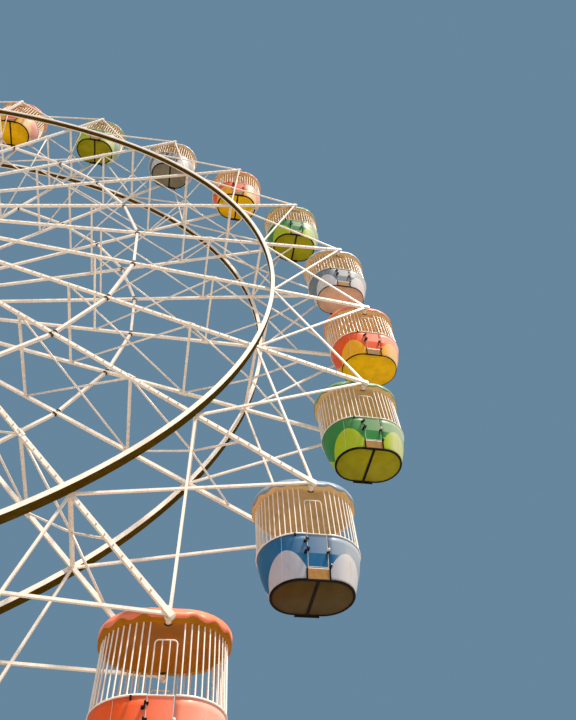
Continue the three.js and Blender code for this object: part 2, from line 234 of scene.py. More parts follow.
def closed(bm):
    """Merges doubles and turns every face outwards."""
    bmesh.ops.remove_doubles(bm, verts=bm.verts, dist=0.0002)
    bmesh.ops.recalc_face_normals(bm, faces=bm.faces)


def turned_ring(bm, radii, across, material=0, steps=192):
    """A flat ring round the axle, between two radii and two distances along the axle."""
    corners = [bm.verts.new((radii[i], across[j], 0)) for i, j in ((0, 0), (1, 0), (1, 1), (0, 1))]
    edges = [bm.edges.new((a, b)) for a, b in zip(corners, corners[1:] + corners[:1])]
    before = set(bm.faces)
    around = {"cent": (0, 0, 0), "axis": (0, 1, 0), "angle": math.tau, "steps": steps, "use_merge": True}
    bmesh.ops.spin(bm, geom=corners + edges, **around)
    for face in set(bm.faces) - before:
        face.material_index = material


pivot_half_width = 1.047
hub_half_width = 1.742
spoke_width = 0.090
rim_radius = 0.809 * wheel_radius
rim_sides = (1.2145, 1.4650)
rim_lip = 0.042
lip_radii = (13.645, 13.7662)
web_radii = (13.656, 13.692)
tread_radii = (13.756, 13.7710)
tread_insets = (0.002, 0.004)


def half_width(radius):
    """How far each side frame stands from the middle of the wheel."""
    return pivot_half_width + (hub_half_width - pivot_half_width) * (1 - radius / wheel_radius)


rims = bmesh.new()
inside, outside = rim_sides
for side in (-1, 1):
    turned_ring(rims, lip_radii, (side * inside, side * (inside + rim_lip)))
    turned_ring(rims, lip_radii, (side * (outside - rim_lip), side * outside))
    turned_ring(rims, web_radii, (side * (inside + rim_lip), side * (outside - rim_lip)), 1)
    tread = (side * (inside + tread_insets[0]), side * (outside - tread_insets[1]))
    turned_ring(rims, tread_radii, tread, 1)
closed(rims)
bmesh.ops.translate(rims, verts=rims.verts, vec=hub)
new_piece("rims", rims, "wheel", "frame_paint", white_paint, brown_paint)


# Cross bracing
# Light tubes keep the two side frames square to each other in the plane of every spoke pair: a cross
# between the inner and middle struts, then a pair that meets on the middle of the rim strut and spreads
# again.
cabin_count = 24
spoke_step = math.radians(360 / cabin_count)
first_spoke = math.radians(72.12)
brace_width = 0.055
strut_shares = (0.464, 0.69, 0.809, 0.887)
inner_strut, middle_strut, rim_strut, outer_tie = (share * wheel_radius for share in strut_shares)


def spoke_angle(index):
    return first_spoke - (index - 1) * spoke_step


def wheel_point(index, radius, side):
    """A point on the near (-1) or far (1) spoke of a pair, or midway between them (0)."""
    angle = spoke_angle(index)
    return hub + Vector((radius * math.cos(angle), side * half_width(radius), radius * math.sin(angle)))


def tube(bm, start, end, radius, sides=8, material=0):
    """A straight closed tube between two points."""
    along = end - start
    place = Matrix.Translation((start + end) / 2) @ along.to_track_quat("Z", "Y").to_matrix().to_4x4()
    made = bmesh.ops.create_cone(
        bm, cap_ends=True, segments=sides, radius1=radius, radius2=radius, depth=along.length, matrix=place
    )
    for face in {face for vert in made["verts"] for face in vert.link_faces}:
        face.material_index = material
        face.smooth = len(face.verts) == 4
    return made["verts"]


def repeat_round(bm):
    """Copies what was drawn at spoke pair 1 to all the others."""
    turn = {"cent": hub, "axis": (0, 1, 0), "angle": math.tau - spoke_step, "steps": cabin_count - 1}
    bmesh.ops.spin(bm, geom=bm.verts[:] + bm.edges[:] + bm.faces[:], use_duplicate=True, **turn)


braces = bmesh.new()
for side in (-1, 1):
    for start, end in (
        (wheel_point(1, inner_strut, side), wheel_point(1, middle_strut, -side)),
        (wheel_point(1, middle_strut, side), wheel_point(1, rim_strut, 0)),
        (wheel_point(1, rim_strut, 0), wheel_point(1, outer_tie, side)),
    ):
        tube(braces, start, end, brace_width / 2)
repeat_round(braces)
new_piece("cross_braces", braces, "wheel", "frame_paint", white_paint)


# Joint plates
# Flat steel gussets are bolted over the middle strut joints and the cabin eyes, and each tube of the inner
# polygon meets its spokes in a pair of small bolted flanges.
def disc(bm, centre, axis, radius, thickness, sides=16, material=0):
    half = Vector(axis).normalized() * thickness / 2
    return tube(bm, centre - half, centre + half, radius, sides, material)


def edges_at(verts):
    """Every edge at some vertices once, in a fixed order."""
    return list(dict.fromkeys(edge for vert in verts for edge in vert.link_edges))


def plate(bm, centre, along, axis, length, width, thickness, material=0, bevel=0.01):
    """A bevelled plate, with its length along one direction and its thickness along the axis."""
    run = Vector(along).normalized()
    across = Vector(axis).cross(run).normalized()
    upward = run.cross(across)
    sized = Matrix((run * length, across * width, upward * thickness)).transposed().to_4x4()
    verts = bmesh.ops.create_cube(bm, size=1, matrix=Matrix.Translation(centre) @ sized)["verts"]
    cut = {"affect": "EDGES", "segments": 1, "profile": 0.5, "material": -1}
    verts = bmesh.ops.bevel(bm, geom=edges_at(verts), offset=bevel, **cut)["verts"]
    for face in {face for vert in verts for face in vert.link_faces}:
        face.material_index = material


polygon_radius = 0.537 * wheel_radius
gusset_size = (0.24, 0.13, 0.010)
gusset_out = 0.004
gusset_bolts = (-0.085, -0.030, 0.030, 0.085)
gusset_bolt_radius = 0.013
gusset_bolt_length = 0.026
eye_plate_size = (0.22, 0.12, 0.012)
eye_plate_out = 0.005
eye_plate_inset = 0.02
flanges = ((0.070, 0.078), (0.092, 0.068))
flange_thickness = 0.020
flange_joint = 0.081
flange_bolts = 6
flange_bolt_circle = 0.060
flange_bolt_radius = 0.008
flange_bolt_length = 0.056
zinc = Finish("zinc_bolts", {"Metallic": 0.85})
zinc_tint = zinc.blend(zinc.noise(30), (0.42, 0.38, 0.33, 1), (0.25, 0.21, 0.17, 1))
zinc.surface(zinc_tint, 0.35 + 0.3 * zinc.noise(12))
plates = bmesh.new()
bolts = bmesh.new()
outward = (wheel_point(1, 1, 0) - hub).normalized()
for side in (-1, 1):
    sideways = Vector((0, side, 0))
    gusset = wheel_point(1, middle_strut, side) + sideways * (spoke_width / 2 + gusset_out)
    plate(plates, gusset, outward, sideways, *gusset_size, 0, 0.003)
    for shift in gusset_bolts:
        disc(bolts, gusset + outward * shift, sideways, gusset_bolt_radius, gusset_bolt_length, 6)
    eye_face = wheel_point(1, wheel_radius, side) + sideways * (spoke_width / 2 + eye_plate_out)
    plate(plates, eye_face - outward * eye_plate_inset, outward, sideways, *eye_plate_size, 0, 0.004)
    for hand in (-1, 1):
        joint = wheel_point(1, polygon_radius, side)
        run = (wheel_point(1 + hand, polygon_radius, side) - joint).normalized()
        for stand, radius in flanges:
            disc(plates, joint + run * stand, run, radius, flange_thickness, 16, 1)
        for turn in range(flange_bolts):
            spot = Matrix.Rotation(turn * math.tau / flange_bolts, 3, run) @ (sideways * flange_bolt_circle)
            place = joint + run * flange_joint + spot
            disc(bolts, place, run, flange_bolt_radius, flange_bolt_length, 6)
repeat_round(plates)
repeat_round(bolts)
new_piece("joint_plates", plates, "wheel", "frame_paint", white_paint, brown_paint)
new_piece("joint_bolts", bolts, "wheel", "dark_steel", zinc.material)


# Spoke lamps
# A row of small lamps runs along the outer face of every spoke, one about every 0.3 m: a white turned
# holder with a frosted glass bulb screwed into it.
lamp_spacing = 0.295
first_lamp = 2.3
last_lamp = 16.6
holder_radius = 0.019
holder_height = 0.018
bulb_radius = 0.017
rim_clearance = 0.10

glass = Finish("frosted_bulb", {"Coat Weight": 0.6, "Subsurface Weight": 0.15})
glass_tint = glass.blend(glass.noise(5), (0.90, 0.86, 0.78, 1), (0.78, 0.70, 0.58, 1))
glass.surface(glass_tint, 0.22 + 0.1 * glass.noise(40))
lamps = bmesh.new()
lamp_total = int((last_lamp - first_lamp) / lamp_spacing) + 1
for side in (-1, 1):
    sideways = Vector((0, side, 0))
    for number in range(lamp_total):
        radius = first_lamp + number * lamp_spacing
        if abs(radius - rim_radius) < rim_clearance:
            continue
        seat = wheel_point(1, radius, side) + sideways * spoke_width / 2
        tube(lamps, seat, seat + sideways * holder_height, holder_radius, 6)
        bulb = Matrix.Translation(seat + sideways * (holder_height + bulb_radius * 0.5))
        made = bmesh.ops.create_icosphere(lamps, subdivisions=1, radius=bulb_radius, matrix=bulb)
        for face in {face for vert in made["verts"] for face in vert.link_faces}:
            face.material_index = 1
            face.smooth = True
repeat_round(lamps)
new_piece("spoke_lamps", lamps, "wheel", "frame_paint", white_paint, glass.material)


# Hub fittings
# Each spoke is bolted to the hub flange by a root plate, the barrel is stiffened by fins, and the shaft
# ends in round caps outside the bearings. All of it is brown painted steel with zinc bolts.
flange_apothem = 1.0
flange_outer = 1.85
shaft_half_length = 3.0
root_inset = 0.14
root_size = (0.24, 0.13, 0.020)
root_bolts = (-0.07, 0.07)
root_bolt_radius = 0.020
root_bolt_length = 0.050
fin_radius = 0.66
fin_out = 1.45
fin_size = (0.44, 0.30, 0.024)
hub_discs = ((0.52, flange_outer + 0.03), (0.30, flange_outer + 0.10), (0.225, shaft_half_length - 0.02))
hub_disc_thickness = 0.06
hub_bolts = 12
hub_bolt_circle = 0.42
hub_bolt_radius = 0.028
hub_bolt_out = flange_outer + 0.07
hub_bolt_length = 0.06
roots = bmesh.new()
for side in (-1, 1):
    sideways = Vector((0, side, 0))
    root = hub + outward * (flange_apothem - root_inset) + sideways * (flange_outer + root_size[2] / 2)
    plate(roots, root, outward, sideways, *root_size, 0, 0.005)
    for shift in root_bolts:
        disc(roots, root + outward * shift, sideways, root_bolt_radius, root_bolt_length, 6, 1)
    fin_middle = hub + outward * fin_radius + sideways * fin_out
    plate(roots, fin_middle, outward, (-outward.z, 0, outward.x), *fin_size, 0)
repeat_round(roots)
new_piece("spoke_roots", roots, "wheel", "dark_steel", brown_paint, zinc.material)
fittings = bmesh.new()
for side in (-1, 1):
    sideways = Vector((0, side, 0))
    for radius, out in hub_discs:
        disc(fittings, hub + sideways * out, sideways, radius, hub_disc_thickness, 48)
    for turn in range(hub_bolts):
        angle = turn * math.tau / hub_bolts
        across, rise = hub_bolt_circle * math.cos(angle), hub_bolt_circle * math.sin(angle)
        spot = Vector((across, side * hub_bolt_out, rise))
        disc(fittings, hub + spot, sideways, hub_bolt_radius, hub_bolt_length, 6, 1)
new_piece("hub_fittings", fittings, "wheel", "dark_steel", brown_paint, zinc.material)


# Cabin shell
# The tub is a moulded plastic shell with a slot shaped plan. It leans in to a crease along its straight
# sides and tapers to the floor. Four light arches are moulded into it, and a painted sheen of sun and sky
# lightens it above the crease and over its right end.
half_straight = 0.280
rail_height = -1.300
rail_radius = 0.862
crease_height = -1.715
crease_radius = 0.780
crease_reach = 0.5
floor_height = -2.230
floor_radius = 0.610
belly = 0.004
shell_thickness = 0.028
slot_segments = 48
door_half_width = 0.215
door_foot = -1.990
hinge_gap = 0.006
latch_gap = 0.015
foot_gap = 0.008


def shell_radius(height):
    """The tub's radius at a height below the pivot."""
    if height > crease_height:
        share = (rail_height - height) / (rail_height - crease_height)
        return rail_radius + (crease_radius - rail_radius) * share
    share = (crease_height - height) / (crease_height - floor_height)
    return crease_radius + (floor_radius - crease_radius) * share + 4 * belly * share * (1 - share)


def slot_loop(bm, radius, height, segments):
    """A closed loop of edges round the slot shape."""
    place = Matrix.Translation((0, 0, height)) @ Matrix.Rotation(math.pi / segments, 4, "Z")
    made = bmesh.ops.create_circle(bm, segments=segments, radius=radius, matrix=place)
    for vert in made["verts"]:
        vert.co.x += math.copysign(half_straight, vert.co.x)
    return edges_at(made["verts"])


def slot_walls(bm, rings, segments=slot_segments, material=0):
    """A wall through loops at (radius, height), each loop drawn out of the one before."""
    loops = [slot_loop(bm, *rings[0], segments)]
    for (last_radius, _), (radius, height) in zip(rings, rings[1:]):
        drawn = bmesh.ops.extrude_edge_only(bm, edges=loops[-1])["geom"]
        spread = radius / last_radius
        for vert in [item for item in drawn if isinstance(item, bmesh.types.BMVert)]:
            centre = math.copysign(half_straight, vert.co.x)
            vert.co = (centre + (vert.co.x - centre) * spread, vert.co.y * spread, height)
        for face in [item for item in drawn if isinstance(item, bmesh.types.BMFace)]:
            face.material_index = material
            face.smooth = True
        edges = [item for item in drawn if isinstance(item, bmesh.types.BMEdge)]
        loops.append([edge for edge in edges if all(end in drawn for end in edge.verts)])
    return loops


def cut_doorways(bm, foot):
    """Slices a wall at the sides and the foot of both doorways, and takes out what lies in them."""
    low, high = -door_half_width - hinge_gap, door_half_width + latch_gap
    planes = [((hand * x, 0, 0), (1, 0, 0)) for x in (low, high) for hand in (1, -1)]
    planes.append(((0, 0, foot), (0, 0, 1)))
    for place, normal in planes:
        everything = bm.verts[:] + bm.edges[:] + bm.faces[:]
        bmesh.ops.bisect_plane(bm, geom=everything, plane_co=place, plane_no=normal)
    inside = []
    for face in bm.faces:
        middle = face.calc_center_median()
        across = middle.x if middle.y < 0 else -middle.x
        if low < across < high and middle.z > foot:
            inside.append(face)
    bmesh.ops.delete(bm, geom=inside, context="FACES")


wrap_radius = 0.885


def wrap_round(bm):
    """Gives a wall its own coordinates: how far round from the middle of its side, and the height."""
    layer = bm.loops.layers.uv.new("Wrap")
    for face in bm.faces:
        for loop in face.loops:
            x, y, z = loop.vert.co
            past = abs(x) - half_straight
            bend = math.atan2(past, abs(y)) * wrap_radius if past > 0 else 0
            loop[layer].uv = (math.copysign(min(abs(x), half_straight) + bend, x), z - floor_height)


arch_middle = 0.76
arch_crest = 0.600
arch_door_fall = 1.4
arch_end_fall = 0.7
# Chalk tint: the real chalky film on the plastic, and also the colour of the painted sheen on the tub.
chalk_and_sheen_tint = (0.84, 0.79, 0.68, 1)
soot = (0.20, 0.15, 0.10, 1)


def moulding(name, band, arch=None):
    """Moulded plastic in the band colour, with light arches on a tub and a painted sheen above its crease and
    over its right end.
    """
    finish = Finish(name, {"Coat Weight": 0.12, "Coat Roughness": 0.25, "Specular IOR Level": 0.2})
    paint = band
    film = finish.noise(1.7, 5)
    chalk_and_sheen = film.step(0.4, 0.8) * 0.03
    if arch:
        wrap = finish.node("ShaderNodeUVMap", {"uv_map": "Wrap"}, {})
        around = finish.node("ShaderNodeSeparateXYZ", {}, [wrap], 0)
        height = finish.node("ShaderNodeSeparateXYZ", {}, [wrap], 1)
        across = around.size()
        door_side = (arch_middle - across).at_least(0) ** 2
        end_side = (across - arch_middle).at_least(0) ** 1.5
        over = height - (arch_crest - arch_door_fall * door_side - arch_end_fall * end_side)
        paint = finish.blend(over.step(-0.003, 0.003), arch, band)
        crease = crease_height - floor_height
        fade = 0.006 + 0.3 * (across - 0.5).at_least(0)
        above = height.step(crease - fade, crease + fade)
        # Painted sheen, for sun and sky shining off the gloss: lighter above the crease, more so towards the
        # right end, and over the right end itself.
        painted_sheen = (above * around.step(-0.9, 1.6)).at_least(0.8 * around.step(0.30, 0.75))
        chalk_and_sheen = chalk_and_sheen + 0.5 * painted_sheen
    streaks = finish.noise(14, 3, (1, 1, 0.07))
    dulled = finish.blend(streaks.step(0.45, 0.75) * 0.13, paint, soot)
    chalked_and_sheened = finish.blend(chalk_and_sheen, dulled, chalk_and_sheen_tint)
    finish.surface(chalked_and_sheened, 0.30 + 0.15 * film + 0.1 * streaks + 0.2 * chalk_and_sheen, finish.noise(90, 2), 0.0006)
    return finish.material


def tub_mesh():
    """The open wall of the tub, with its doorways cut and a hard line along the crease."""
    bm = bmesh.new()
    below = [floor_height + step * (crease_height - floor_height) / 8 for step in range(9)]
    above = [crease_height + step * (rail_height - crease_height) / 3 for step in (1, 2, 3)]
    slot_walls(bm, [(shell_radius(height), height) for height in below + above])
    cut_doorways(bm, door_foot - foot_gap)
    closed(bm)
    for edge in bm.edges:
        on_crease = all(abs(vert.co.z - crease_height) < 0.001 for vert in edge.verts)
        on_side = all(abs(vert.co.x) < crease_reach for vert in edge.verts)
        edge.smooth = not (on_crease and on_side)
    wrap_round(bm)
    return bm


# Doors
# One door in each long side: a creased leaf with white edges that carries the line of the tub, four bars
# under a bent head bar, two black hinges on its left, and on its right a white knob on a black bracket and a
# black latch bar.
door_levels = (rail_height, -1.5, crease_height, -1.80, -1.90, door_foot)
door_thickness = 0.020
door_proud = 0.003
door_top = -0.365
door_bar = 0.0125
bar_inset = 0.012
bar_root = 0.01
arch_half_width = 0.190
arch_bend = 0.070
inner_bar = 0.065
inner_bar_radius = door_bar * 0.9
leaf_edge_radius = 0.0055
leaf_edge_inset = 0.004
capping_stand = 0.004
capping_size = (2 * door_half_width, 0.020, 0.028)
hinge_levels = (-1.42, -1.66)
hinge_x = -0.240
hinge_y = -0.885
knuckle_radius = 0.014
knuckle_half = 0.029
strap_height = 0.036
strap_size = (0.062, strap_height, 0.010)
strap_place = Vector((0.032, 0.012, 0))
strap_foot_length = 0.030
strap_foot_inset = 0.018
strap_foot_stand = 0.008
wall_overlap = 0.006
knob_height = -1.645
knob_radius = 0.028
knob_past_door = 0.018
knob_stand = 0.050
stem_run = Vector((-0.028, knob_stand, -0.012))
stem_radius = 0.012
bracket_place = Vector((0.010, -0.012, -0.050))
bracket_size = (0.060, 0.040, 0.030)
latch_x = 0.190
latch_levels = (-1.690, -1.840)
latch_stand = 0.014
latch_radius = 0.009


def bent_bar(bm, half, foot, top, bend, radius, y, material=0, sides=8):
    """A tube bent into an arch: up, round a corner, across, round the other corner and down."""
    place = Matrix.Translation((-half, y, foot))
    start = bmesh.ops.create_circle(bm, segments=sides, radius=radius, matrix=place)
    before = set(bm.faces)
    ring = edges_at(start["verts"])

    def draw(edges, step):
        made = bmesh.ops.extrude_edge_only(bm, edges=edges)["geom"]
        verts = [item for item in made if isinstance(item, bmesh.types.BMVert)]
        bmesh.ops.translate(bm, verts=verts, vec=step)
        new_edges = [item for item in made if isinstance(item, bmesh.types.BMEdge)]
        return [edge for edge in new_edges if all(end in made for end in edge.verts)]

    def bend_round(edges, centre):
        verts = list(dict.fromkeys(vert for edge in edges for vert in edge.verts))
        turn = {"cent": centre, "axis": (0, 1, 0), "angle": math.radians(90), "steps": 6}
        made = bmesh.ops.spin(bm, geom=verts + edges, use_merge=False, **turn)
        return [item for item in made["geom_last"] if isinstance(item, bmesh.types.BMEdge)]

    ring = draw(ring, (0, 0, top - bend - foot))
    ring = bend_round(ring, (-half + bend, y, top - bend))
    ring = draw(ring, (2 * (half - bend), 0, 0))
    ring = bend_round(ring, (half - bend, y, top - bend))
    draw(ring, (0, 0, foot - top + bend))
    for face in set(bm.faces) - before:
        face.smooth = True
        face.material_index = material
    bmesh.ops.holes_fill(bm, edges=[edge for edge in bm.edges if edge.is_boundary], sides=sides)


def door_leaf_mesh():
    """The near door, with its bars: material 0 is the shell, 1 white paint, 2 black steel."""
    bm = bmesh.new()
    line = [(-shell_radius(level) - door_proud, level) for level in door_levels]
    side = [bm.verts.new((-door_half_width, y, z)) for y, z in line]
    edges = [bm.edges.new(pair) for pair in zip(side, side[1:])]
    drawn = bmesh.ops.extrude_edge_only(bm, edges=edges)["geom"]
    far_side = [item for item in drawn if isinstance(item, bmesh.types.BMVert)]
    bmesh.ops.translate(bm, verts=far_side, vec=(2 * door_half_width, 0, 0))
    bmesh.ops.recalc_face_normals(bm, faces=bm.faces)
    if sum(face.normal.y for face in bm.faces) > 0:
        bmesh.ops.reverse_faces(bm, faces=bm.faces)
    bmesh.ops.solidify(bm, geom=bm.faces[:], thickness=door_thickness)
    wrap_round(bm)
    y = -rail_radius + bar_inset
    root = rail_height - bar_root
    bent_bar(bm, arch_half_width, root, door_top, arch_bend, door_bar, y, 1)
    for x in (-inner_bar, inner_bar):
        tube(bm, Vector((x, y, root)), Vector((x, y, door_top)), inner_bar_radius, 8, 1)
    for x in (-door_half_width + leaf_edge_inset, door_half_width - leaf_edge_inset):
        corners = [Vector((x, y, z)) for y, z in line]
        for upper, lower in zip(corners, corners[1:]):
            tube(bm, upper, lower, leaf_edge_radius, 6, 1)
    foot_line = Vector((0, -shell_radius(door_foot) - door_proud, door_foot + leaf_edge_inset))
    half_line = Vector((door_half_width, 0, 0))
    tube(bm, foot_line - half_line, foot_line + half_line, leaf_edge_radius, 6, 1)
    along, outwards = (1, 0, 0), (0, 1, 0)
    capping = Vector((0, -rail_radius - capping_stand, rail_height))
    plate(bm, capping, along, outwards, *capping_size, 1, 0.006)
    for level in hinge_levels:
        pin = Vector((hinge_x, hinge_y, level))
        half = Vector((0, 0, knuckle_half))
        tube(bm, pin - half, pin + half, knuckle_radius, 12, 2)
        plate(bm, pin + strap_place, along, outwards, *strap_size, 2, 0.003)
        outer = hinge_y + strap_foot_stand
        inner = -shell_radius(level) + wall_overlap
        foot = Vector((-door_half_width + strap_foot_inset, (outer + inner) / 2, level))
        plate(bm, foot, along, outwards, strap_foot_length, strap_height, inner - outer, 2, 0.003)
    knob = Vector((door_half_width + knob_past_door, -shell_radius(knob_height) - knob_stand, knob_height))
    before = set(bm.faces)
    bmesh.ops.create_uvsphere(
        bm, u_segments=14, v_segments=8, radius=knob_radius, matrix=Matrix.Translation(knob)
    )
    for face in set(bm.faces) - before:
        face.material_index = 1
        face.smooth = True
    stem = knob + stem_run
    tube(bm, knob, stem, stem_radius, 10, 1)
    plate(bm, stem + bracket_place, along, outwards, *bracket_size, 2, 0.004)
    latch = [Vector((latch_x, -shell_radius(level) - latch_stand, level)) for level in latch_levels]
    tube(bm, latch[0], latch[1], latch_radius, 8, 2)
    return bm


# Cabin cage
# Forty-six white steel bars stand on the rail and run up into the ceiling, evenly round the cabin except
# over the doors, where the space above the door's own head bar is open.
cage_radius = 0.849
cage_bar = 0.0130
first_bar = 0.300
bars_to_end = 11
ceiling_height = -0.050
bar_into_ceiling = 0.02
rail_section = (
    (-0.026, 0.014), (-0.016, 0.024), (0.006, 0.024),
    (0.014, 0.014), (0.014, -0.006), (-0.026, -0.006),
)


def slot_point(around, radius, height):
    """A point at a distance round the slot from the middle of its near side."""
    bend = max(around - half_straight, 0) / radius
    x = min(around, half_straight) + radius * math.sin(bend)
    return Vector((x, -radius * math.cos(bend), height))


def cage_mesh():
    """The bars and the rail under them, which stops at the doorways. Material 0 is white paint."""
    bm = bmesh.new()
    rings = [(rail_radius + out, rail_height + rise) for out, rise in rail_section]
    slot_walls(bm, rings + rings[:1])
    closed(bm)
    cut_doorways(bm, floor_height)
    bmesh.ops.holes_fill(bm, edges=[edge for edge in bm.edges if edge.is_boundary], sides=8)
    bmesh.ops.recalc_face_normals(bm, faces=bm.faces)
    quarter = half_straight + cage_radius * math.pi / 2
    for number in range(bars_to_end + 1):
        around = first_bar + number * (quarter - first_bar) / bars_to_end
        foot = slot_point(around, cage_radius, rail_height)
        corners = {(sx * foot.x, sy * foot.y) for sx in (-1, 1) for sy in (-1, 1)}
        if number == bars_to_end:
            corners = {(foot.x, 0.0), (-foot.x, 0.0)}
        for x, y in sorted(corners):
            head = Vector((x, y, ceiling_height + bar_into_ceiling))
            tube(bm, Vector((x, y, rail_height)), head, cage_bar)
    return bm


# Canopy
# A low moulded dome with a scalloped skirt, coloured outside. Its flat ceiling board has a shallow step, and
# the brown edge of the board shows under the scallops.
skirt_radius = 0.940
skirt_top = 0.150
skirt_middle = 0.012
skirt_wave = 0.042
skirt_segments = 144
quarter_waves = 4
skirt_thickness = 0.012
dome = [
    (0.938, 0.146), (0.925, 0.178), (0.88, 0.212), (0.78, 0.250),
    (0.62, 0.285), (0.44, 0.308), (0.24, 0.320),
]
ceiling = [
    (0.938, 0.146), (0.925, ceiling_height),
    (0.780, ceiling_height), (0.776, ceiling_height + 0.005),
]


def canopy_mesh():
    """Material 0 is the canopy's colour, 1 the brown ceiling and lining."""
    bm = bmesh.new()
    loops = slot_walls(bm, [(skirt_radius, skirt_top), (skirt_radius, skirt_middle)], skirt_segments)
    quarter = half_straight + skirt_radius * math.pi / 2
    for vert in {vert for edge in loops[1] for vert in edge.verts}:
        bend = math.atan2(abs(vert.co.x) - half_straight, abs(vert.co.y))
        around = min(abs(vert.co.x), half_straight) + max(0, bend) * skirt_radius
        vert.co.z = skirt_middle + skirt_wave * math.cos(math.tau * quarter_waves * around / quarter)
    bmesh.ops.recalc_face_normals(bm, faces=bm.faces)
    bmesh.ops.solidify(bm, geom=bm.faces[:], thickness=skirt_thickness)
    for face in bm.faces:
        middle = face.calc_center_median()
        past = max(abs(middle.x) - half_straight, 0)
        if math.hypot(past, middle.y) < skirt_radius - 0.8 * skirt_thickness:
            face.material_index = 1
    crown = slot_walls(bm, dome)[-1]
    bmesh.ops.contextual_create(bm, geom=crown)
    board = slot_walls(bm, ceiling, material=1)[-1]
    for face in bmesh.ops.contextual_create(bm, geom=board)["faces"]:
        face.material_index = 1
    closed(bm)
    return bm


# Cabin floor and fittings
# A pressed floor pan, which on most cabins has a black rubber edge and a black strap across it, and a moulded
# bench in each end. Below each door are a white ledge and a tan kick plate between black cheeks of painted
# shade at its open sides, beside it a black stop, and the axle sleeves enter the canopy through brown rings
# of painted shade, where the holes they pass through would be dark.
floor_strap_drop = 0.011
floor_strap_thickness = 0.016
floor_strap_inset = 0.02


def floor_trim_mesh(edge_width, strap_width):
    """The black edge round the floor, with the strap across it if that has a width."""
    bm = bmesh.new()
    section = [(-edge_width, -0.012), (0.004, -0.012), (0.010, 0.0), (0.012, 0.022), (-edge_width, 0.020)]
    rings = [(floor_radius + out, floor_height + rise) for out, rise in section]
    slot_walls(bm, rings + rings[:1])
    closed(bm)
    if strap_width:
        middle = Vector((0, 0, floor_height - floor_strap_drop))
        size = (2 * floor_radius - floor_strap_inset, strap_width, floor_strap_thickness)
        plate(bm, middle, (0, 1, 0), (0, 0, 1), *size, 0, 0.004)
    return bm


pan_radius = floor_radius - 0.01
pan_levels = (floor_height + 0.055, floor_height - 0.005)


def pan_mesh():
    """The closed floor pan inside the foot of the tub."""
    bm = bmesh.new()
    loops = slot_walls(bm, [(pan_radius, level) for level in pan_levels])
    for rim in loops:
        bmesh.ops.contextual_create(bm, geom=rim)
    closed(bm)
    return bm


seat_height = -1.800
seat_front = 0.650
seat_gap = 0.003
seat_levels = (floor_height + 0.050, -2.090, -1.950, seat_height - 0.020)
seat_rounding = ((0.006, 0.004), (0.022, 0))


def seats_mesh():
    """The two moulded benches, one in each end of the tub, which stand on the floor pan."""
    bm = bmesh.new()
    inner = shell_thickness + seat_gap
    rings = [(shell_radius(level) - inner, level) for level in seat_levels]
    for inset, drop in seat_rounding:
        rings.append((shell_radius(seat_height) - inner - inset, seat_height - drop))
    loops = slot_walls(bm, rings)
    for rim in (loops[0], loops[-1]):
        bmesh.ops.contextual_create(bm, geom=rim)
    closed(bm)
    for hand in (-1, 1):
        everything = bm.verts[:] + bm.edges[:] + bm.faces[:]
        front = (hand * seat_front, 0, 0)
        bmesh.ops.bisect_plane(bm, geom=everything, plane_co=front, plane_no=(1, 0, 0))
    between = [face for face in bm.faces if abs(face.calc_center_median().x) < seat_front - 0.001]
    bmesh.ops.delete(bm, geom=between, context="FACES")
    open_edges = [edge for edge in bm.edges if edge.is_boundary]
    for face in bmesh.ops.holes_fill(bm, edges=open_edges, sides=0)["faces"]:
        face.smooth = False
    bmesh.ops.recalc_face_normals(bm, faces=bm.faces)
    return bm


kick_half_width = 0.225
kick_top = door_foot - 0.042
kick_top_stand = 0.010
kick_foot = (floor_radius + 0.026, floor_height - 0.004)
kick_thickness = 0.014
# The black cheeks at the kick plate's sides are painted shade: they stand for the shadow at its open sides.
shadow_cheek_width = 0.026
shadow_cheek_depth = 0.046
shadow_cheek_extra = 0.03
sill_place = (0.002, -0.014)
sill_size = (0.54, 0.030, 0.030)
ledge_height = door_foot - 0.026
ledge_stand = 0.002
ledge_size = (2 * kick_half_width, 0.018, 0.014)
catch_place = (0.468, rail_radius + 0.010, rail_height - 0.046)
catch_lean = 0.15
catch_size = (0.072, 0.034, 0.040)
stop_x = 0.262
stop_height = -1.965
stop_stand = 0.018
stop_lean = 0.3
stop_size = (0.105, 0.042, 0.044)
button_place = (0.014, 0.024, 0.030)
button_radius = 0.012
lower_knuckle = 0.062
block_length = 0.052
sleeve_ends = (0.815, 0.985)
sleeve_radius = 0.070
# The first, brown disc at the inner end of each sleeve shows below the ceiling: painted shade of the hole the
# sleeve enters by.
sleeve_discs = ((0.815, 0.092, 0.020, 24, 2), (0.960, 0.084, 0.026, 24, 3), (0.976, 0.048, 0.018, 6, 4))
seam_around = 0.76
seam_radius = 0.0030
seam_stand = 0.001


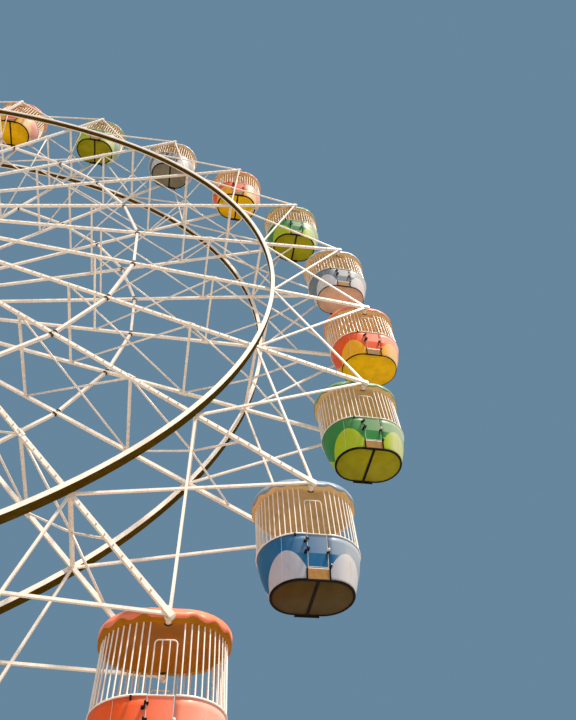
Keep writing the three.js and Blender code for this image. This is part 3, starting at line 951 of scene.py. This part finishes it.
def fittings_mesh():
    """Material 0 is black rubber, 1 the tan plate, 2 brown paint, 3 white paint, 4 zinc."""
    bm = bmesh.new()
    for side in (-1, 1):
        sideways = Vector((0, side, 0))
        top = sideways * (shell_radius(kick_top) + kick_top_stand) + Vector((0, 0, kick_top))
        low = sideways * kick_foot[0] + Vector((0, 0, kick_foot[1]))
        slope = low - top
        outwards = Vector((0, -slope.z, slope.y)) * side
        kick_width = 2 * kick_half_width
        plate(bm, (top + low) / 2, slope, outwards, slope.length, kick_width, kick_thickness, 1, 0.003)
        # Black cheeks of painted shade down both sides of the kick plate.
        for x in (-kick_half_width - shadow_cheek_width / 2, kick_half_width + shadow_cheek_width / 2):
            middle = (top + low) / 2 + Vector((x, 0, 0))
            length = slope.length + shadow_cheek_extra
            plate(bm, middle, slope, outwards, length, shadow_cheek_width, shadow_cheek_depth, 0, 0.003)
        sill = low + sideways * sill_place[0] + Vector((0, 0, sill_place[1]))
        plate(bm, sill, (1, 0, 0), sideways, *sill_size, 0, 0.004)
        ledge = sideways * (shell_radius(ledge_height) + ledge_stand) + Vector((0, 0, ledge_height))
        plate(bm, ledge, (1, 0, 0), sideways, *ledge_size, 3, 0.003)
        catch = Vector((side * catch_place[0], side * catch_place[1], catch_place[2]))
        plate(bm, catch, (catch_lean * side, 0, 1), sideways, *catch_size, 0, 0.005)
        stop = Vector((-side * stop_x, side * (shell_radius(stop_height) + stop_stand), stop_height))
        plate(bm, stop, (-stop_lean * side, 0, 1), sideways, *stop_size, 0, 0.006)
        button = stop + Vector((-side * button_place[0], side * button_place[1], button_place[2]))
        disc(bm, button, sideways, button_radius, button_radius, 10, 3)
        for level in hinge_levels:
            low_level = level - lower_knuckle
            pin = Vector((side * abs(hinge_x), side * abs(hinge_y), low_level))
            half = Vector((0, 0, knuckle_half))
            tube(bm, pin - half, pin + half, knuckle_radius, 12, 0)
            depth = abs(hinge_y) - shell_radius(low_level) + wall_overlap
            block = Vector((pin.x + side * block_length / 2, side * (abs(hinge_y) - depth / 2), low_level))
            plate(bm, block, (1, 0, 0), sideways, block_length, strap_height, depth, 0, 0.003)
        tube(bm, sideways * sleeve_ends[0], sideways * sleeve_ends[1], sleeve_radius, 24, 3)
        # The brown inner disc is painted shade round the sleeve's hole in the ceiling.
        for out, radius, thickness, sides, material in sleeve_discs:
            disc(bm, sideways * out, sideways, radius, thickness, sides, material)
    heights = [rail_height - 0.02 + step * (floor_height - rail_height + 0.06) / 10 for step in range(11)]
    seam = [slot_point(seam_around, shell_radius(height) + seam_stand, height) for height in heights]
    for corner in (Vector((1, 1, 1)), Vector((1, -1, 1)), Vector((-1, 1, 1)), Vector((-1, -1, 1))):
        for start, end in zip(seam, seam[1:]):
            tube(bm, start * corner, end * corner, seam_radius, 5, 3)
    return bm


# Cabins on their pivots
# The cabins are painted in turn green, blue and red, and some of the blue ones have faded or weathered to
# slate. Each hangs from its own pivot, and only the doors of the cabin at the bottom are made to open.
def plain_finish(name, light, dark, scale, gloss, shine=0.3):
    """A finish that is mottled between two colours."""
    finish = Finish(name, {"Specular IOR Level": shine})
    grain = finish.noise(scale, 6)
    colour = finish.blend(grain.step(0.35, 0.7), light, dark)
    finish.surface(colour, gloss + 0.15 * grain, finish.noise(scale * 8, 3), 0.001)
    return finish.material


def board(name, colour, scale=3):
    """A board or pan in one colour, a little darker in patches."""
    dark = tuple(0.82 * part for part in colour[:3]) + (1,)
    return plain_finish(name, colour, dark, scale, 0.5, 0.1)


bar_enamel = painted_steel("bar_enamel", (0.95, 0.90, 0.83, 1), (0.78, 0.68, 0.57, 1), 0.30, 0.3)
rubber_tints = (0.006, 0.005, 0.004, 1), (0.012, 0.010, 0.008, 1)
black_rubber = plain_finish("black_rubber", *rubber_tints, 8, 0.6, 0.08)
tan_plate = board("tan_plate", (0.42, 0.225, 0.070, 1), 14)
tan_ceiling = board("tan_ceiling", (0.80, 0.53, 0.24, 1))
# Painted shade: a darker brown copy of the tan ceiling, for ceilings that get little light from below.
shaded_ceiling = board("shaded_ceiling", (0.45, 0.170, 0.005, 1))
# Band and arches of the tub, then canopy and floor pan.
paints = {
    "green": (
        (0.026, 0.240, 0.045, 1), (0.43, 0.55, 0.008, 1),
        (0.17, 0.33, 0.17, 1), (0.33, 0.30, 0.006, 1),
    ),
    "blue": (
        (0.006, 0.130, 0.310, 1), (0.47, 0.49, 0.58, 1),
        (0.26, 0.32, 0.40, 1), (0.085, 0.052, 0.012, 1),
    ),
    "red": (
        (0.93, 0.100, 0.006, 1), (0.98, 0.45, 0.008, 1),
        (0.93, 0.24, 0.12, 1), (0.95, 0.53, 0.004, 1),
    ),
    "slate": (
        (0.170, 0.225, 0.270, 1), (0.66, 0.66, 0.68, 1),
        (0.50, 0.51, 0.52, 1), (0.62, 0.44, 0.31, 1),
    ),
    "weathered": (
        (0.150, 0.200, 0.250, 1), (0.62, 0.63, 0.66, 1),
        (0.50, 0.51, 0.52, 1), (0.24, 0.22, 0.15, 1),
    ),
}
looks = {}
for name, (band, arch, crown, floor_tint) in paints.items():
    shell_look = moulding(f"{name}_shell", band, arch)
    canopy_look = moulding(f"{name}_canopy", crown)
    looks[name] = (shell_look, canopy_look, board(f"{name}_floor", floor_tint))


def finished(name, bm, thickness=0):
    """A mesh with its modifier applied, to be copied into place."""
    mesh = bpy.data.meshes.new(name)
    bm.to_mesh(mesh)
    bm.free()
    if not thickness:
        return mesh
    piece = bpy.data.objects.new(name, mesh)
    bpy.context.scene.collection.objects.link(piece)
    wall = piece.modifiers.new("wall", "SOLIDIFY")
    wall.thickness = thickness
    wall.offset = -1
    wall.use_even_offset = True
    shaped = piece.evaluated_get(bpy.context.evaluated_depsgraph_get())
    made = bpy.data.meshes.new_from_object(shaped)
    bpy.data.objects.remove(piece)
    return made


def stamp(bm, mesh, place, materials):
    """Copies a finished mesh into a piece, with each of its materials given a place in the piece's list."""
    copy = mesh.copy()
    copy.transform(place)
    before = len(bm.faces)
    bm.from_mesh(copy)
    bpy.data.meshes.remove(copy)
    bm.faces.ensure_lookup_table()
    for number in range(before, len(bm.faces)):
        bm.faces[number].material_index = materials[bm.faces[number].material_index]


tub = finished("tub", tub_mesh(), shell_thickness)
door = finished("door", door_leaf_mesh())
cage = finished("cage", cage_mesh())
canopy = finished("canopy", canopy_mesh())
pan = finished("pan", pan_mesh())
seats = finished("seats", seats_mesh())
fittings = finished("fittings", fittings_mesh())
broad_edge, floor_strap = 0.038, 0.068
slim_edge = 0.008
broad_trim = finished("broad_trim", floor_trim_mesh(broad_edge, floor_strap))
slim_trim = finished("slim_trim", floor_trim_mesh(slim_edge, 0))
opening_cabin = 12
slate_cabins = (5, 17)
weathered_cabins = (2, 14)
slim_cabins = (5, 6, 17, 18)
# These cabins take the darker ceiling of painted shade.
shaded_ceiling_cabins = (9, 21)
half_turn = Matrix.Rotation(math.pi, 4, "Z")
for index in range(1, cabin_count + 1):
    colour = ("green", "blue", "red")[(index - 1) % 3]
    slot_name = f"cabin_{colour}"
    scheme = "slate" if index in slate_cabins else "weathered" if index in weathered_cabins else colour
    shell_look, canopy_look, pan_look = looks[scheme]
    ceiling_look = shaded_ceiling if index in shaded_ceiling_cabins else tan_ceiling
    trim = slim_trim if index in slim_cabins else broad_trim
    node = f"cabin_{index:02d}"
    hang = Matrix.Translation(wheel_point(index, wheel_radius, 0))
    materials = [shell_look, white_paint, black_rubber, canopy_look, ceiling_look, pan_look]
    materials += [tan_plate, brown_paint, zinc.material, bar_enamel]
    bm = bmesh.new()
    stamp(bm, tub, hang, [0])
    stamp(bm, cage, hang, [9])
    stamp(bm, canopy, hang, [3, 4])
    stamp(bm, pan, hang, [5])
    stamp(bm, seats, hang, [5])
    stamp(bm, trim, hang, [2])
    stamp(bm, fittings, hang, [2, 6, 7, 1, 8])
    if index != opening_cabin:
        stamp(bm, door, hang, [0, 1, 2])
        stamp(bm, door, hang @ half_turn, [0, 1, 2])
    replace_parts(new_piece(f"{node}_dressed", bm, node, slot_name, *materials), node)
    if index == opening_cabin:
        for name, turn in (("near_door", Matrix.Identity(4)), ("far_door", half_turn)):
            leaf = bmesh.new()
            stamp(leaf, door, hang @ turn, [0, 1, 2])
            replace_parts(new_piece(f"{name}_dressed", leaf, name, slot_name, *materials[:3]), name)


# Supports
# Each leg is a box column in three bolted lengths. It stands on a ribbed base plate held by anchor nuts, and
# the bearing caps are bolted down on the leg heads.
leg_foot = Vector((7.6, 4.3, 0))
leg_head = Vector((0.33, 2.56, 20.08))
leg_width = 0.48
leg_joints = (0.34, 0.67)
flange_width = leg_width + 0.16
leg_flange_thickness = 0.026
leg_flange_shift = 0.016
leg_bolt_steps = (-0.24, -0.12, 0, 0.12, 0.24)
leg_bolt_edges = (-0.275, 0.275)
leg_bolt_radius = 0.018
leg_bolt_length = 0.10
base_top = 0.06
rib_out = 0.36
rib_rise = 0.12
rib_lean = 0.15
rib_size = (0.22, 0.24, 0.03)
anchor_out = 0.40
anchor_rise = 0.006
anchor_parts = ((0, 0.055, 0.012, 16), (0.028, 0.036, 0.045, 6), (0.06, 0.018, 0.10, 8))
cap_bolt_x = 0.30
cap_bolt_outs = (-0.13, 0.13)
cap_bolt_rise = 0.085
cap_bolt_radius = 0.034
cap_bolt_length = 0.05
supports = bmesh.new()
for sx in (-1, 1):
    for sy in (-1, 1):
        foot = Vector((sx * leg_foot.x, sy * leg_foot.y, 0))
        head = Vector((sx * leg_head.x, sy * leg_head.y, leg_head.z))
        along = (head - foot).normalized()
        level = Vector((0, 1, 0)).cross(along).normalized()
        broad = along.cross(level)
        for share in leg_joints:
            joint = foot.lerp(head, share)
            for shift in (-leg_flange_shift, leg_flange_shift):
                size = (flange_width, flange_width, leg_flange_thickness)
                plate(supports, joint + along * shift, (0, 1, 0), along, *size)
            for step in leg_bolt_steps:
                for edge in leg_bolt_edges:
                    for spot in (level * step + broad * edge, level * edge + broad * step):
                        disc(supports, joint + spot, along, leg_bolt_radius, leg_bolt_length, 6, 1)
        for dx, dy in ((1, 0), (-1, 0), (0, 1), (0, -1)):
            rib = foot + Vector((dx * rib_out, dy * rib_out, base_top + rib_rise))
            rib += Vector((along.x, along.y, 0)) * rib_lean
            plate(supports, rib, (dx, dy, 0), (dy, -dx, 0), *rib_size)
        for dx in (-1, 1):
            for dy in (-1, 1):
                anchor = foot + Vector((dx * anchor_out, dy * anchor_out, base_top + anchor_rise))
                for rise, radius, height, sides in anchor_parts:
                    disc(supports, anchor + Vector((0, 0, rise)), (0, 0, 1), radius, height, sides, 1)
for sy in (-1, 1):
    for sx in (-1, 1):
        for out in cap_bolt_outs:
            bolt = Vector((sx * cap_bolt_x, sy * leg_head.y + out, leg_head.z + cap_bolt_rise))
            disc(supports, bolt, (0, 0, 1), cap_bolt_radius, cap_bolt_length, 6, 1)
new_piece("support_fittings", supports, "supports", "frame_paint", white_paint, zinc.material)


# Ground
# A plain pale studio floor, just under the base plates.
ground_radius = 120
ground_level = Matrix.Translation((0, 0, -0.002))
ground = bmesh.new()
bmesh.ops.create_circle(ground, cap_ends=True, segments=64, radius=ground_radius, matrix=ground_level)
pale = Finish("studio_floor", {})
pale_tint = pale.blend(pale.noise(0.4), (0.44, 0.385, 0.325, 1), (0.41, 0.36, 0.30, 1))
pale.surface(pale_tint, 0.8 + 0.1 * pale.noise(2))
mesh = bpy.data.meshes.new("ground")
ground.to_mesh(mesh)
ground.free()
mesh.materials.append(pale.material)
floor = bpy.data.objects.new("ground", mesh)
bpy.context.scene.collection.objects.link(floor)
